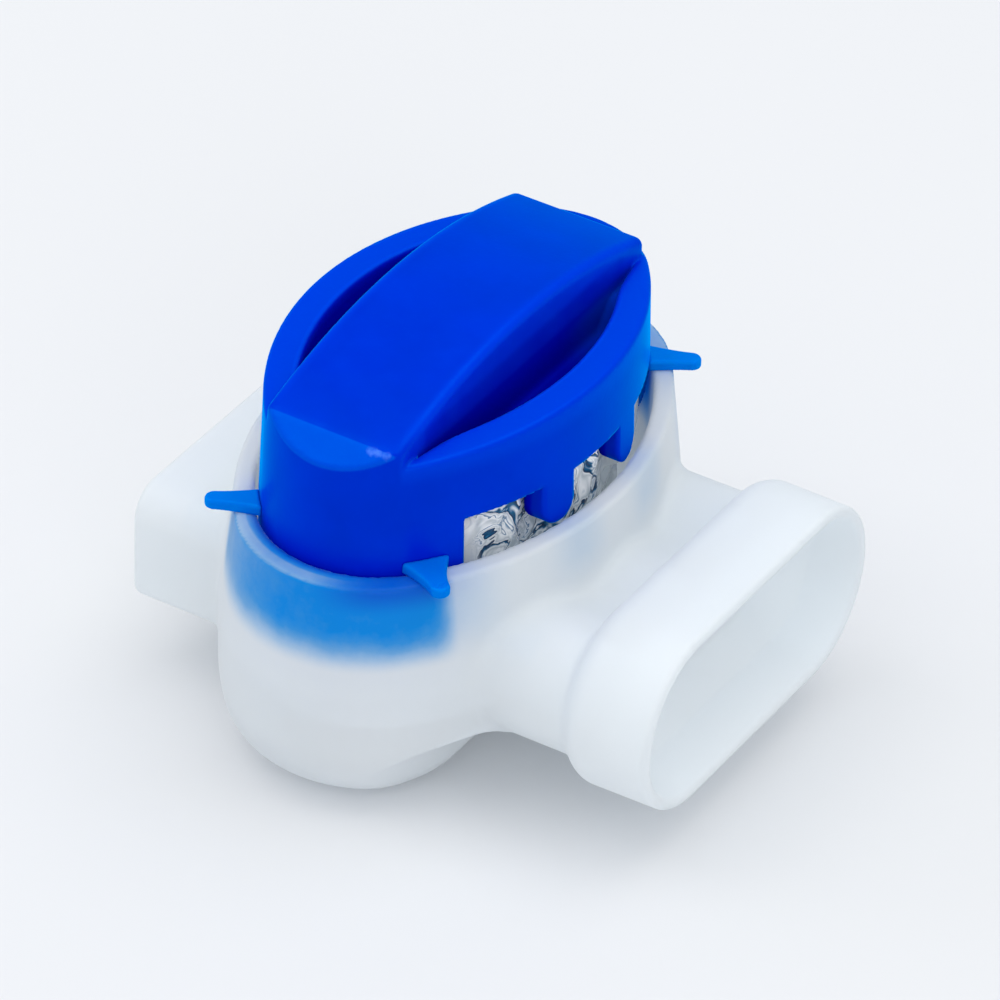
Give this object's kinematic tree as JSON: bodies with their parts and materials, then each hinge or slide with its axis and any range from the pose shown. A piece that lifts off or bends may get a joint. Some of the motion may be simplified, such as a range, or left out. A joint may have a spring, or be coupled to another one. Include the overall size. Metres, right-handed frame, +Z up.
{
  "type": "waterproof wire connector",
  "caption": "Gel-filled pigtail splice: a translucent oval cup with a flared wire mouth and a press-down cap with a grip bar.",
  "frame": {"origin": "centre of the cup's foot, on the cap's own axis", "axes": "+X along the wires towards the mouth, +Y across the wires along the grip bar, +Z up from the foot to the cap"},
  "size_m": [0.0308, 0.0306, 0.0222],
  "materials": {
    "shell": "translucent, satin",
    "cap_blue": "satin",
    "tab_blue": "satin",
    "tinned_brass": "bright tin plate",
    "gel": "clear, wet"
  },
  "bodies": {
    "housing": {"housing": "shell", "sealant_gel": "gel"},
    "cap": {"cap": "cap_blue", "contact": "tinned_brass", "holding_tab_1": "tab_blue", "holding_tab_2": "tab_blue", "holding_tab_3": "tab_blue", "holding_tab_4": "tab_blue"}
  },
  "joints": [
    {"name": "cap_press", "type": "slide", "parent": "housing", "child": "cap", "axis": [0, 0, -1], "range_m": [0, 0.0042], "deforming": ["sealant_gel", "holding_tab_1", "holding_tab_2", "holding_tab_3", "holding_tab_4"]}
  ]
}
